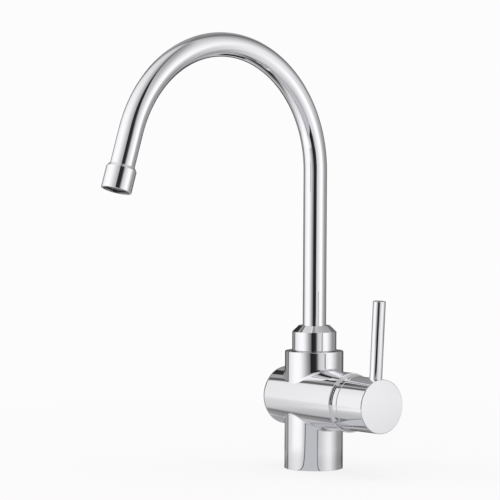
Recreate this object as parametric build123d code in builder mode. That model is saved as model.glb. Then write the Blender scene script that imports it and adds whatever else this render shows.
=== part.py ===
from build123d import *
from math import cos, radians, sin
import os

# Cold water tap with a swan-neck spout that swivels on the column and a quarter-turn lever
# handle on the end of a short cross barrel. Millimetres, +Z up. The origin is the centre of
# the column's foot, the spout points towards -Y and the handle's barrel towards +X.
# Threads are plain cylinders: an inner one at the size that its tapping drill leaves, and
# each outer one a clearance smaller.

# Column and barrel
column_r = 25.0
column_top_z = 100.5
column_top_round = 0.6
barrel_y = -3.5
barrel_z = 60.4
barrel_left_x = -37.0
barrel_left_round = 4.8
barrel_wall = 4.0
barrel_mouth_chamfer = 0.3
crossing_round = 2.5

# Foot of the column
foot_wall = 4.0
foot_depth = 30.0
gasket_groove_depth = 2.0
gasket_lip = 1.0
gasket_fit = 0.05

# Fixing stud and inlet, in the roof of the foot
stud_x = 10.0
stud_core_r = 3.4
stud_depth = 9.0
inlet_x = -10.0
inlet_core_r = 4.5
inlet_depth = 11.0

# Spout tube and its path
tube_r = 10.0
tube_wall = 1.4
bend_z = 253.8
bend_r = 103.4
bend_angle = 162.6
spout_turn = 5.1
outlet_straight = 38.0

# Outlet sleeve and aerator, measured along the tube from the end of its bend
sleeve_start = 29.4
sleeve_end = 49.5
sleeve_shoulder_step = 0.8
sleeve_cone_length = 2.4
sleeve_wall = 2.3
sleeve_mouth_round = 0.5
sleeve_lip = 1.0
sleeve_lip_width = 1.0
sleeve_thread_wall = 1.55
washer_thickness = 1.5
aerator_wall = 1.4
aerator_recess = 0.9
aerator_floor = 1.0
filter_thickness = 1.2
filter_dome = 1.0
filter_hole_r = 0.35
filter_hole_half_pitch = 1.4
filter_rows = 6
jet_plate_thickness = 3.0
jet_hole_r = 0.5
jet_count = 24
screen_thickness = 1.4
screen_pitch = 1.7
screen_hole = 1.15

# Spout's seat in the neck of the body
spigot_wall = 2.95
spigot_flange_width = 3.05
spigot_flange_thickness = 2.0
spigot_waterway_r = 7.0
tube_socket_depth = 17.0
spigot_end_gap = 2.0
neck_floor_wall = 3.0
running_fit = 0.05
boss_wall = 3.45
boss_height = 11.5
slip_ring_thickness = 1.0
slip_gap = 0.02
seal_groove_width = 2.9
seal_section_r = 1.2
spout_seal_heights = (6.0, 12.0)

# Spout collar
collar_wall = 2.4
collar_shoulder_height = 16.3
collar_cone_height = 5.4
collar_top_width = 3.35
collar_seam = 0.3
collar_seam_chamfer = 0.5

# Waterways between the cartridge and the neck
waterway_r = 6.0
duct_r = 3.5
seat_wall = 6.0
port_rim = 2.3

# Cartridge and its pocket, along the barrel from the pocket's floor
cartridge_r = 17.5
cartridge_fit = 0.1
pocket_depth = 43.2
base_thickness = 5.0
peg_r = 2.0
peg_length = 3.0
peg_setback = 5.5
peg_fit = 0.1
port_seal_r = 5.0
port_seal_bore_r = 3.4
port_seal_squeeze = 0.02
disc_shell = 3.4
disc_port_r = 3.2
fixed_disc_thickness = 4.0
disc_gap = 0.03
moving_disc_thickness = 4.5
channel_width = 7.0
channel_depth = 1.8
tongue_width = 6.0
tongue_height = 1.2
tongue_fit = 0.05
driver_thickness = 5.5
driver_fit = 0.2
socket_depth = 4.5
stop_lug_shell = 1.4
stop_lug_half_angle = 16.0
stop_spare_angle = 1.0
handle_travel = 90.0
cartridge_flange_step = 2.5
cartridge_flange_thickness = 3.0
cartridge_wall = 6.0
cartridge_nose_r = 9.0
cartridge_nose_length = 10.0

# Cartridge stem
stem_r = 5.5
stem_square = 7.6
stem_flange_r = 8.0
stem_flange_thickness = 2.0
stem_round_end = 42.0
stem_end_chamfer = 0.4
thrust_washer_thickness = 1.0
stem_seal_section_r = 0.7
stem_seal_groove_width = 1.7
stem_seal_depth = 1.4
stem_seal_places = (25.5, 29.5)

# Cartridge nut
thread_step = 1.0
nut_nose_wall = 4.5
nut_nose_step = 2.5
nut_nose_length = 5.3
nut_slot_width = 4.0
nut_slot_depth = 2.0
nut_slot_count = 4
nut_thread_end_gap = 1.2

# Cover ring between the barrel and the cap
ring_length = 7.5
ring_fit = 0.12
ring_face_step = 0.7
ring_first_slope = 1.0
ring_bead_start = 1.2
ring_bead_step = 1.3
ring_bead_width = 0.3
ring_second_slope = 0.8
ring_sleeve_start = 2.5
ring_sleeve_step = 1.9
ring_end_chamfer = 0.4
ring_seal_place = 2.3
ring_seal_section_r = 0.65
ring_seal_groove_width = 1.5

# Handle cap
cap_gap = 0.3
cap_length = 31.0
cap_rear_step = 2.1
cap_taper = 0.4
cap_face_chamfer = 0.5
cap_wall = 3.0
cap_hollow_depth = 13.0
cap_hub_r = 8.5
cap_hub_setback = 1.5
stem_end_gap = 0.4
square_fit = 0.03

# Lever and grub screw
lever_r = 5.3
lever_top = 87.0
lever_lean = 3.6
lever_setback = 9.6
lever_seat_depth = 3.6
lever_end_chamfer = 0.4
lever_stud_r = 2.95
lever_fit = 0.05
stud_fit = 0.03
stem_past_lever = 3.0
grub_length = 6.0
grub_point_r = 1.5
grub_point_gap = 0.15
grub_point_length = 1.2
grub_socket_width = 3.0
grub_socket_depth = 2.5
lever_stud_gap = 1.35

# Sizes that follow from these
cartridge_flange_r = cartridge_r + cartridge_flange_step
nut_thread_r = cartridge_flange_r + thread_step
barrel_r = nut_thread_r + barrel_wall
disc_r = cartridge_r - cartridge_fit - disc_shell
stop_lug_r = cartridge_r - cartridge_fit - stop_lug_shell
port_offset = disc_r - disc_port_r - port_rim
peg_offset = cartridge_r - peg_setback
nut_nose_r = nut_thread_r - nut_nose_step
nut_bore_r = nut_nose_r - nut_nose_wall
ring_face_r = barrel_r - ring_face_step
ring_bead_r = barrel_r - ring_bead_step
ring_sleeve_r = barrel_r - ring_sleeve_step
cap_rear_r = barrel_r - cap_rear_step
cap_face_r = cap_rear_r - cap_taper
lever_seat = cap_rear_r - lever_seat_depth
grub_start = stem_square / 2 + grub_point_gap
lever_stud_length = lever_seat - grub_start - grub_length - lever_stud_gap
foot_r = column_r - foot_wall
spigot_r = tube_r + spigot_wall
neck_bore_r = spigot_r + running_fit
spigot_flange_r = spigot_r + spigot_flange_width
boss_r = neck_bore_r + boss_wall
collar_bore_r = boss_r + running_fit
collar_r = collar_bore_r + collar_wall
sleeve_r = tube_r + sleeve_wall
sleeve_shoulder_r = tube_r + sleeve_shoulder_step
sleeve_lip_r = tube_r - sleeve_lip_width
sleeve_thread_r = sleeve_r - sleeve_thread_wall
boss_top_z = column_top_z + boss_height
spigot_flange_z = boss_top_z + slip_ring_thickness
spigot_top_z = spigot_flange_z + spigot_flange_thickness
collar_roof_z = spigot_top_z + slip_ring_thickness
neck_bore_low_z = barrel_z + cartridge_r + cartridge_fit + neck_floor_wall
spigot_low_z = neck_bore_low_z + spigot_end_gap
tube_low_z = spigot_top_z - tube_socket_depth + slip_gap
pocket_floor_x = waterway_r + seat_wall
barrel_right_x = pocket_floor_x + pocket_depth
disc_x = pocket_floor_x + base_thickness
moving_disc_x = disc_x + fixed_disc_thickness + disc_gap
driver_x = moving_disc_x + moving_disc_thickness
stem_flange_x = driver_x + driver_thickness
thrust_washer_x = stem_flange_x + stem_flange_thickness
cartridge_wall_x = thrust_washer_x + thrust_washer_thickness + disc_gap
cartridge_flange_x = cartridge_wall_x + cartridge_wall
nut_x = cartridge_flange_x + cartridge_flange_thickness
nut_end_x = barrel_right_x + nut_nose_length
ring_end_x = barrel_right_x + ring_length
cap_rear_x = ring_end_x + cap_gap
cap_face_x = cap_rear_x + cap_length
lever_x = cap_face_x - lever_setback
stem_end_x = lever_x + stem_past_lever
stem_seal_bore_r = stem_r + running_fit


def across(x):
    """Plane square to the barrel at x, with its own X along world +Y and its Y upwards."""
    return Plane(origin=(x, barrel_y, barrel_z), x_dir=(0, 1, 0), z_dir=(1, 0, 0))


def outlet_across(distance):
    """Plane square to the tube at a distance past the end of its bend."""
    place = outlet_profile.from_local_coords((0, distance, 0))
    return Plane(origin=place, x_dir=outlet_profile.z_dir, z_dir=outlet_profile.y_dir)


# Planes and axes. On the barrel's profile plane X runs along the barrel and Y is the radius.
barrel_profile = Plane(origin=(0, barrel_y, barrel_z), x_dir=(1, 0, 0), z_dir=(0, -1, 0))
barrel_axis = Axis((0, barrel_y, barrel_z), (1, 0, 0))
column_profile = Plane.XZ
spout_angle = radians(spout_turn - 90)
spout_plane = Plane(
    origin=(0, 0, 0),
    x_dir=(cos(spout_angle), sin(spout_angle), 0),
    z_dir=(sin(spout_angle), -cos(spout_angle), 0),
)
bend_end = (
    bend_r - bend_r * cos(radians(bend_angle)),
    bend_z + bend_r * sin(radians(bend_angle)),
)
outlet_profile = Plane(spout_plane.location * Location((*bend_end, 0), (0, 0, -bend_angle)))
outlet_axis = Axis(outlet_profile.origin, outlet_profile.y_dir)
lever_plane = Plane(
    origin=(lever_x, barrel_y, barrel_z),
    x_dir=(0, 1, 0),
    z_dir=(sin(radians(lever_lean)), 0, cos(radians(lever_lean))),
)

os.makedirs("parts", exist_ok=True)

# Tap body: column and barrel in one casting
with BuildPart() as tap_body:
    with BuildSketch(Plane.XY):
        Circle(column_r)
    extrude(amount=column_top_z)
    with BuildSketch(across(barrel_left_x)):
        Circle(barrel_r)
    extrude(amount=barrel_right_x - barrel_left_x)
    crossing = tap_body.edges().filter_by(GeomType.CIRCLE, reverse=True)
    crossing = crossing.filter_by(GeomType.LINE, reverse=True)
    fillet(crossing, radius=crossing_round)
    fillet(tap_body.faces().sort_by(Axis.X)[0].edges(), radius=barrel_left_round)
    chamfer(tap_body.faces().sort_by(Axis.X)[-1].edges(), length=barrel_mouth_chamfer)
    fillet(tap_body.faces().sort_by(Axis.Z)[-1].edges(), radius=column_top_round)
    # Threaded boss and the bore that the spout's spigot turns in
    with BuildSketch(Plane.XY.offset(column_top_z)):
        Circle(boss_r)
    extrude(amount=boss_height)
    with BuildSketch(Plane.XY.offset(neck_bore_low_z)):
        Circle(neck_bore_r)
    extrude(amount=boss_top_z - neck_bore_low_z, mode=Mode.SUBTRACT)
    # Hollow foot with its gasket groove
    with BuildSketch(Plane.XY):
        Circle(foot_r)
    extrude(amount=foot_depth, mode=Mode.SUBTRACT)
    with BuildSketch(Plane.XY):
        Circle(column_r - gasket_lip)
        Circle(foot_r + gasket_lip, mode=Mode.SUBTRACT)
    extrude(amount=gasket_groove_depth, mode=Mode.SUBTRACT)
    # Stepped pocket for the cartridge, its flange and its nut
    for pocket_x, pocket_r in (
        (pocket_floor_x, cartridge_r + cartridge_fit),
        (cartridge_flange_x, cartridge_flange_r + cartridge_fit),
        (nut_x, nut_thread_r),
    ):
        with BuildSketch(across(pocket_x)):
            Circle(pocket_r)
        extrude(amount=barrel_right_x - pocket_x, mode=Mode.SUBTRACT)
    with BuildSketch(across(pocket_floor_x)):
        with Locations((-peg_offset, 0), (peg_offset, 0)):
            Circle(peg_r + peg_fit)
    extrude(amount=-peg_length - cartridge_fit, mode=Mode.SUBTRACT)
    # Inlet: threaded socket, rising duct and the lower port
    with BuildSketch(Plane.XY.offset(foot_depth)):
        with Locations((inlet_x, barrel_y)):
            Circle(inlet_core_r)
    extrude(amount=inlet_depth, mode=Mode.SUBTRACT)
    with BuildSketch(Plane.XY.offset(foot_depth)):
        with Locations((inlet_x, barrel_y)):
            Circle(duct_r)
    extrude(amount=barrel_z - port_offset - foot_depth, mode=Mode.SUBTRACT)
    with BuildSketch(across(pocket_floor_x)):
        with Locations((0, -port_offset)):
            Circle(duct_r)
    extrude(amount=inlet_x - pocket_floor_x, mode=Mode.SUBTRACT)
    # Outlet: the upper port and the waterway that rises into the neck
    with BuildSketch(across(pocket_floor_x)):
        with Locations((0, port_offset)):
            Circle(duct_r)
    extrude(amount=-pocket_floor_x, mode=Mode.SUBTRACT)
    with BuildSketch(Plane.XY.offset(barrel_z + port_offset - duct_r)):
        Circle(waterway_r)
    extrude(amount=neck_bore_low_z - barrel_z - port_offset + duct_r, mode=Mode.SUBTRACT)
    # Threaded hole for the fixing stud
    with BuildSketch(Plane.XY.offset(foot_depth)):
        with Locations((stud_x, 0)):
            Circle(stud_core_r)
    extrude(amount=stud_depth, mode=Mode.SUBTRACT)
tap_body.part.label = "tap_body"
export_step(tap_body.part, "parts/tap_body.step")

# Base gasket, flush with the foot
with BuildPart() as base_gasket:
    with BuildSketch(Plane.XY):
        Circle(column_r - gasket_lip - gasket_fit)
        Circle(foot_r + gasket_lip + gasket_fit, mode=Mode.SUBTRACT)
    extrude(amount=gasket_groove_depth)
base_gasket.part.label = "base_gasket"
export_step(base_gasket.part, "parts/base_gasket.step")

# Spout collar: the nut that holds the spout's flange down on the neck
with BuildPart() as spout_collar:
    collar_low_z = column_top_z + collar_seam
    collar_shoulder_z = column_top_z + collar_shoulder_height
    collar_top_z = collar_shoulder_z + collar_cone_height
    with BuildSketch(column_profile):
        with BuildLine():
            Polyline(
                (collar_bore_r, collar_low_z),
                (collar_r - collar_seam_chamfer, collar_low_z),
                (collar_r, collar_low_z + collar_seam_chamfer),
                (collar_r, collar_shoulder_z),
                (tube_r + collar_top_width, collar_top_z),
                (tube_r + running_fit, collar_top_z),
                (tube_r + running_fit, collar_roof_z),
                (collar_bore_r, collar_roof_z),
                close=True,
            )
        make_face()
    revolve(axis=Axis.Z)
spout_collar.part.label = "spout_collar"
export_step(spout_collar.part, "parts/spout_collar.step")

# Slip rings below and above the spout's flange
with BuildPart() as spout_lower_slip_ring:
    with BuildSketch(Plane.XY.offset(boss_top_z)):
        Circle(spigot_flange_r)
        Circle(spigot_r + running_fit, mode=Mode.SUBTRACT)
    extrude(amount=slip_ring_thickness - slip_gap)
spout_lower_slip_ring.part.label = "spout_lower_slip_ring"
export_step(spout_lower_slip_ring.part, "parts/spout_lower_slip_ring.step")

with BuildPart() as spout_upper_slip_ring:
    with BuildSketch(Plane.XY.offset(spigot_top_z + slip_gap)):
        Circle(spigot_flange_r)
        Circle(tube_r + running_fit, mode=Mode.SUBTRACT)
    extrude(amount=slip_ring_thickness - slip_gap)
spout_upper_slip_ring.part.label = "spout_upper_slip_ring"
export_step(spout_upper_slip_ring.part, "parts/spout_upper_slip_ring.step")

# Spout spigot: flanged insert brazed to the tube, with two seal grooves
with BuildPart() as spout_spigot:
    with BuildSketch(Plane.XY.offset(spigot_low_z)):
        Circle(spigot_r)
    extrude(amount=spigot_top_z - spigot_low_z)
    with BuildSketch(Plane.XY.offset(spigot_flange_z)):
        Circle(spigot_flange_r)
    extrude(amount=spigot_flange_thickness)
    with BuildSketch(Plane.XY.offset(spigot_low_z)):
        Circle(spigot_waterway_r)
    extrude(amount=spigot_top_z - spigot_low_z, mode=Mode.SUBTRACT)
    with BuildSketch(Plane.XY.offset(spigot_top_z)):
        Circle(tube_r + stud_fit)
    extrude(amount=-tube_socket_depth, mode=Mode.SUBTRACT)
    for seal_height in spout_seal_heights:
        with BuildSketch(Plane.XY.offset(spigot_low_z + seal_height - seal_groove_width / 2)):
            Circle(spigot_r)
            Circle(neck_bore_r - 2 * seal_section_r - running_fit, mode=Mode.SUBTRACT)
        extrude(amount=seal_groove_width, mode=Mode.SUBTRACT)
spout_spigot.part.label = "spout_spigot"
export_step(spout_spigot.part, "parts/spout_spigot.step")

# Two seals in the spigot's grooves
with BuildPart() as spout_o_rings:
    for seal_height in spout_seal_heights:
        with BuildSketch(column_profile):
            with Locations((neck_bore_r - seal_section_r - running_fit / 2,
                            spigot_low_z + seal_height)):
                Circle(seal_section_r)
        revolve(axis=Axis.Z)
spout_o_rings.part.label = "spout_o_rings"
export_step(spout_o_rings.part, "parts/spout_o_rings.step")

# Spout tube: riser, one long bend and a short straight end
with BuildPart() as spout_tube:
    with BuildLine(spout_plane):
        riser = Line((0, tube_low_z), (0, bend_z))
        bend = CenterArc((bend_r, bend_z), bend_r, 180, -bend_angle)
        Line(bend @ 1, outlet_profile.from_local_coords((0, outlet_straight, 0)))
    with BuildSketch(Plane.XY.offset(tube_low_z)):
        Circle(tube_r)
        Circle(tube_r - tube_wall, mode=Mode.SUBTRACT)
    sweep()
spout_tube.part.label = "spout_tube"
export_step(spout_tube.part, "parts/spout_tube.step")

# Outlet sleeve: brazed on the tube's end, threaded inside for the aerator
with BuildPart() as outlet_sleeve:
    tube_seat = outlet_straight + slip_gap
    aerator_start = tube_seat + sleeve_lip
    with BuildSketch(outlet_profile):
        with BuildLine():
            Polyline(
                (tube_r + stud_fit, sleeve_start),
                (sleeve_shoulder_r, sleeve_start),
                (sleeve_r, sleeve_start + sleeve_cone_length),
                (sleeve_r, sleeve_end),
                (sleeve_thread_r, sleeve_end),
                (sleeve_thread_r, aerator_start),
                (sleeve_lip_r, aerator_start),
                (sleeve_lip_r, tube_seat),
                (tube_r + stud_fit, tube_seat),
                close=True,
            )
        make_face()
    revolve(axis=outlet_axis)
    mouth_face = outlet_sleeve.faces().filter_by(GeomType.PLANE).sort_by(outlet_axis)[-1]
    fillet(mouth_face.edges().sort_by(SortBy.RADIUS)[-1], radius=sleeve_mouth_round)
outlet_sleeve.part.label = "outlet_sleeve"
export_step(outlet_sleeve.part, "parts/outlet_sleeve.step")

# Aerator: washer, threaded cup, strainer, jet plate and screen
aerator_r = sleeve_thread_r - running_fit
cup_start = aerator_start + washer_thickness
cup_end = sleeve_end - aerator_recess
cup_bore_r = aerator_r - aerator_wall
cup_mouth_r = cup_bore_r - aerator_floor
screen_start = cup_end - aerator_floor - screen_thickness
jet_plate_start = cup_start + filter_thickness + filter_dome
with BuildPart() as aerator_washer:
    with BuildSketch(outlet_across(aerator_start)):
        Circle(aerator_r)
        Circle(cup_mouth_r, mode=Mode.SUBTRACT)
    extrude(amount=washer_thickness)
aerator_washer.part.label = "aerator_washer"
export_step(aerator_washer.part, "parts/aerator_washer.step")

with BuildPart() as aerator_housing:
    with BuildSketch(outlet_across(cup_start)):
        Circle(aerator_r)
        Circle(cup_bore_r, mode=Mode.SUBTRACT)
    extrude(amount=cup_end - cup_start)
    with BuildSketch(outlet_across(cup_end - aerator_floor)):
        Circle(aerator_r)
        Circle(cup_mouth_r, mode=Mode.SUBTRACT)
    extrude(amount=aerator_floor)
aerator_housing.part.label = "aerator_housing"
export_step(aerator_housing.part, "parts/aerator_housing.step")

with BuildPart() as aerator_filter:
    with BuildSketch(outlet_profile):
        with BuildLine():
            filter_rim_r = cup_bore_r - running_fit
            filter_end = cup_start + filter_thickness
            Line((0, filter_end), (filter_rim_r, filter_end))
            Line((filter_rim_r, filter_end), (filter_rim_r, cup_start))
            Line((filter_rim_r, cup_start), (cup_mouth_r, cup_start))
            Line((cup_mouth_r, cup_start), (0, cup_start - filter_dome))
            Line((0, cup_start - filter_dome), (0, filter_end))
        make_face()
    revolve(axis=outlet_axis)
    with BuildSketch(outlet_across(cup_start - filter_dome)):
        with HexLocations(filter_hole_half_pitch, filter_rows, filter_rows):
            Circle(filter_hole_r)
    extrude(amount=filter_dome + filter_thickness, mode=Mode.SUBTRACT)
aerator_filter.part.label = "aerator_filter"
export_step(aerator_filter.part, "parts/aerator_filter.step")

with BuildPart() as aerator_insert:
    with BuildSketch(outlet_across(filter_end)):
        Circle(cup_bore_r - running_fit)
        with PolarLocations(cup_mouth_r - 2 * jet_hole_r, jet_count):
            Circle(jet_hole_r, mode=Mode.SUBTRACT)
    extrude(amount=jet_plate_thickness)
aerator_insert.part.label = "aerator_insert"
export_step(aerator_insert.part, "parts/aerator_insert.step")

with BuildPart() as aerator_screen:
    with BuildSketch(outlet_across(screen_start)) as screen_mesh:
        Circle(cup_bore_r - running_fit)
        screen_count = int(2 * cup_mouth_r / screen_pitch)
        with GridLocations(screen_pitch, screen_pitch, screen_count, screen_count) as grid:
            openings = [
                place for place in grid.local_locations
                if place.position.length < cup_mouth_r - screen_hole
            ]
        with Locations(*openings):
            Rectangle(screen_hole, screen_hole, mode=Mode.SUBTRACT)
    extrude(amount=screen_thickness)
aerator_screen.part.label = "aerator_screen"
export_step(aerator_screen.part, "parts/aerator_screen.step")

# Cartridge base with its ports and locating pegs
with BuildPart() as cartridge_base:
    with BuildSketch(across(pocket_floor_x)):
        Circle(cartridge_r)
        with Locations((0, -port_offset), (0, port_offset)):
            Circle(port_seal_r + running_fit, mode=Mode.SUBTRACT)
    extrude(amount=base_thickness)
    with BuildSketch(across(pocket_floor_x)):
        with Locations((-peg_offset, 0), (peg_offset, 0)):
            Circle(peg_r)
    extrude(amount=-peg_length)
cartridge_base.part.label = "cartridge_base"
export_step(cartridge_base.part, "parts/cartridge_base.step")

# Two port seals, clear of the faces that squeeze them
with BuildPart() as cartridge_port_seals:
    with BuildSketch(across(pocket_floor_x + port_seal_squeeze)):
        with Locations((0, -port_offset), (0, port_offset)):
            Circle(port_seal_r)
            Circle(port_seal_bore_r, mode=Mode.SUBTRACT)
    extrude(amount=base_thickness - 2 * port_seal_squeeze)
cartridge_port_seals.part.label = "cartridge_port_seals"
export_step(cartridge_port_seals.part, "parts/cartridge_port_seals.step")

# Fixed ceramic disc
with BuildPart() as fixed_disc:
    with BuildSketch(across(disc_x)):
        Circle(disc_r)
        with Locations((0, -port_offset), (0, port_offset)):
            Circle(disc_port_r, mode=Mode.SUBTRACT)
    extrude(amount=fixed_disc_thickness)
fixed_disc.part.label = "fixed_disc"
export_step(fixed_disc.part, "parts/fixed_disc.step")

# Moving ceramic disc: its channel lies across the ports while the tap is closed
with BuildPart() as moving_disc:
    with BuildSketch(across(moving_disc_x)):
        Circle(disc_r - cartridge_fit)
    extrude(amount=moving_disc_thickness)
    with BuildSketch(across(moving_disc_x)):
        SlotOverall(2 * (port_offset + disc_port_r), channel_width)
    extrude(amount=channel_depth, mode=Mode.SUBTRACT)
    with BuildSketch(across(driver_x)):
        Rectangle(tongue_width + 2 * tongue_fit, 2 * disc_r)
    extrude(amount=-tongue_height - tongue_fit, mode=Mode.SUBTRACT)
moving_disc.part.label = "moving_disc"
export_step(moving_disc.part, "parts/moving_disc.step")

# Disc driver: tongue for the disc, socket for the stem and a lug that meets the stops
with BuildPart() as disc_driver:
    with BuildSketch(across(driver_x)):
        Circle(disc_r - driver_fit)
        with BuildLine():
            lug_arc = CenterArc((0, 0), stop_lug_r, 90 - stop_lug_half_angle,
                                2 * stop_lug_half_angle)
            Line(lug_arc @ 1, (0, 0))
            Line((0, 0), lug_arc @ 0)
        make_face()
    extrude(amount=driver_thickness)
    with BuildSketch(across(driver_x)):
        Rectangle(tongue_width, 2 * (disc_r - driver_fit) - tongue_width)
    extrude(amount=-tongue_height)
    with BuildSketch(across(stem_flange_x)):
        Rectangle(stem_square + 2 * square_fit, stem_square + 2 * square_fit)
    extrude(amount=-socket_depth, mode=Mode.SUBTRACT)
disc_driver.part.label = "disc_driver"
export_step(disc_driver.part, "parts/disc_driver.step")

# Cartridge housing: shell, stop notch, flange and the nose that guides the stem
with BuildPart() as cartridge_housing:
    with BuildSketch(across(disc_x)):
        Circle(cartridge_r)
    extrude(amount=nut_x - disc_x)
    with BuildSketch(across(cartridge_flange_x)):
        Circle(cartridge_flange_r)
    extrude(amount=cartridge_flange_thickness)
    with BuildSketch(across(nut_x)):
        Circle(cartridge_nose_r)
    extrude(amount=cartridge_nose_length)
    with BuildSketch(across(disc_x)):
        Circle(disc_r + cartridge_fit)
    extrude(amount=cartridge_wall_x - disc_x, mode=Mode.SUBTRACT)
    with BuildSketch(across(driver_x)):
        with BuildLine():
            notch_arc = CenterArc(
                (0, 0),
                stop_lug_r + cartridge_fit,
                90 - stop_lug_half_angle - stop_spare_angle,
                handle_travel + 2 * (stop_lug_half_angle + stop_spare_angle),
            )
            Line(notch_arc @ 1, (0, 0))
            Line((0, 0), notch_arc @ 0)
        make_face()
    extrude(amount=driver_thickness, mode=Mode.SUBTRACT)
    with BuildSketch(across(cartridge_wall_x)):
        Circle(stem_seal_bore_r)
    extrude(amount=nut_x + cartridge_nose_length - cartridge_wall_x, mode=Mode.SUBTRACT)
cartridge_housing.part.label = "cartridge_housing"
export_step(cartridge_housing.part, "parts/cartridge_housing.step")

# Cartridge stem: square ends, flange and seal grooves
with BuildPart() as cartridge_stem:
    stem_low_x = stem_flange_x - socket_depth + square_fit
    with BuildSketch(across(stem_low_x)):
        Rectangle(stem_square, stem_square)
    extrude(amount=stem_end_x - stem_low_x)
    chamfer(cartridge_stem.faces().sort_by(Axis.X)[-1].edges(), length=stem_end_chamfer)
    with BuildSketch(across(stem_flange_x)):
        Circle(stem_flange_r)
    extrude(amount=stem_flange_thickness)
    with BuildSketch(across(thrust_washer_x)):
        Circle(stem_r)
    extrude(amount=pocket_floor_x + stem_round_end - thrust_washer_x)
    for seal_place in stem_seal_places:
        seal_x = pocket_floor_x + seal_place - stem_seal_groove_width / 2
        with BuildSketch(across(seal_x)):
            Circle(stem_r)
            Circle(stem_r - stem_seal_depth, mode=Mode.SUBTRACT)
        extrude(amount=stem_seal_groove_width, mode=Mode.SUBTRACT)
cartridge_stem.part.label = "cartridge_stem"
export_step(cartridge_stem.part, "parts/cartridge_stem.step")

# Thrust washer between the stem's flange and the housing
with BuildPart() as stem_thrust_washer:
    with BuildSketch(across(thrust_washer_x)):
        Circle(stem_flange_r)
        Circle(stem_r + running_fit, mode=Mode.SUBTRACT)
    extrude(amount=thrust_washer_thickness)
stem_thrust_washer.part.label = "stem_thrust_washer"
export_step(stem_thrust_washer.part, "parts/stem_thrust_washer.step")

# Two seals on the stem
with BuildPart() as stem_o_rings:
    for seal_place in stem_seal_places:
        with BuildSketch(barrel_profile):
            with Locations((pocket_floor_x + seal_place,
                            stem_seal_bore_r - stem_seal_section_r - running_fit / 2)):
                Circle(stem_seal_section_r)
        revolve(axis=barrel_axis)
stem_o_rings.part.label = "stem_o_rings"
export_step(stem_o_rings.part, "parts/stem_o_rings.step")

# Cartridge nut: screws into the barrel's mouth, and its nose carries the cover ring
with BuildPart() as cartridge_nut:
    nut_thread_end_x = barrel_right_x - nut_thread_end_gap
    with BuildSketch(barrel_profile):
        with BuildLine():
            Polyline(
                (nut_x, nut_bore_r),
                (nut_x, nut_thread_r - running_fit),
                (nut_thread_end_x, nut_thread_r - running_fit),
                (nut_thread_end_x, nut_nose_r),
                (nut_end_x, nut_nose_r),
                (nut_end_x, nut_bore_r),
                close=True,
            )
        make_face()
    revolve(axis=barrel_axis)
    with BuildSketch(across(nut_end_x)):
        with PolarLocations(nut_nose_r, nut_slot_count):
            Rectangle(nut_nose_r, nut_slot_width)
    extrude(amount=-nut_slot_depth, mode=Mode.SUBTRACT)
    ring_seal_x = barrel_right_x + ring_seal_place
    ring_seal_r = nut_nose_r + ring_fit - running_fit / 2 - ring_seal_section_r
    with BuildSketch(across(ring_seal_x - ring_seal_groove_width / 2)):
        Circle(nut_nose_r)
        Circle(ring_seal_r - ring_seal_section_r - running_fit / 2, mode=Mode.SUBTRACT)
    extrude(amount=ring_seal_groove_width, mode=Mode.SUBTRACT)
cartridge_nut.part.label = "cartridge_nut"
export_step(cartridge_nut.part, "parts/cartridge_nut.step")

# Cover ring: two short slopes with a bead between them, then a plain sleeve up to the cap
with BuildPart() as cover_ring:
    ring_bore_r = nut_nose_r + ring_fit
    bead_x = barrel_right_x + ring_bead_start
    bead_end_x = bead_x + ring_bead_width
    with BuildSketch(barrel_profile):
        with BuildLine():
            Polyline(
                (barrel_right_x, ring_bore_r),
                (barrel_right_x, ring_face_r),
                (barrel_right_x + ring_first_slope, ring_face_r - ring_first_slope),
                (bead_x, ring_face_r - ring_first_slope),
                (bead_x, ring_bead_r),
                (bead_end_x, ring_bead_r),
                (bead_end_x + ring_second_slope, ring_bead_r - ring_second_slope),
                (barrel_right_x + ring_sleeve_start, ring_bead_r - ring_second_slope),
                (barrel_right_x + ring_sleeve_start, ring_sleeve_r),
                (ring_end_x - ring_end_chamfer, ring_sleeve_r),
                (ring_end_x, ring_sleeve_r - ring_end_chamfer),
                (ring_end_x, ring_bore_r),
                close=True,
            )
        make_face()
    revolve(axis=barrel_axis)
cover_ring.part.label = "cover_ring"
export_step(cover_ring.part, "parts/cover_ring.step")

# Friction ring in the nut's groove, under the cover ring
with BuildPart() as cover_ring_o_ring:
    with BuildSketch(barrel_profile):
        with Locations((ring_seal_x, ring_seal_r)):
            Circle(ring_seal_section_r)
    revolve(axis=barrel_axis)
cover_ring_o_ring.part.label = "cover_ring_o_ring"
export_step(cover_ring_o_ring.part, "parts/cover_ring_o_ring.step")

# Handle cap: hollow at the rear, with a hub on the stem and a seat for the lever
with BuildPart() as handle_cap:
    cap_floor_x = cap_rear_x + cap_hollow_depth
    with BuildSketch(barrel_profile):
        with BuildLine():
            Polyline(
                (cap_rear_x, cap_rear_r - cap_wall),
                (cap_rear_x, cap_rear_r),
                (cap_face_x - cap_face_chamfer, cap_face_r),
                (cap_face_x, cap_face_r - cap_face_chamfer),
                (cap_face_x, 0),
                (cap_rear_x + cap_hub_setback, 0),
                (cap_rear_x + cap_hub_setback, cap_hub_r),
                (cap_floor_x, cap_hub_r),
                (cap_floor_x, cap_rear_r - cap_wall),
                close=True,
            )
        make_face()
    revolve(axis=barrel_axis)
    with BuildSketch(across(stem_end_x + stem_end_gap)):
        Rectangle(stem_square + 2 * square_fit, stem_square + 2 * square_fit)
    extrude(amount=cap_rear_x - stem_end_x - stem_end_gap, mode=Mode.SUBTRACT)
    with BuildSketch(lever_plane.offset(lever_seat)):
        Circle(lever_r + lever_fit)
    extrude(amount=cap_rear_r - lever_seat, mode=Mode.SUBTRACT)
    with BuildSketch(lever_plane):
        Circle(lever_stud_r + stud_fit)
    extrude(amount=lever_seat, mode=Mode.SUBTRACT)
handle_cap.part.label = "handle_cap"
export_step(handle_cap.part, "parts/handle_cap.step")

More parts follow.
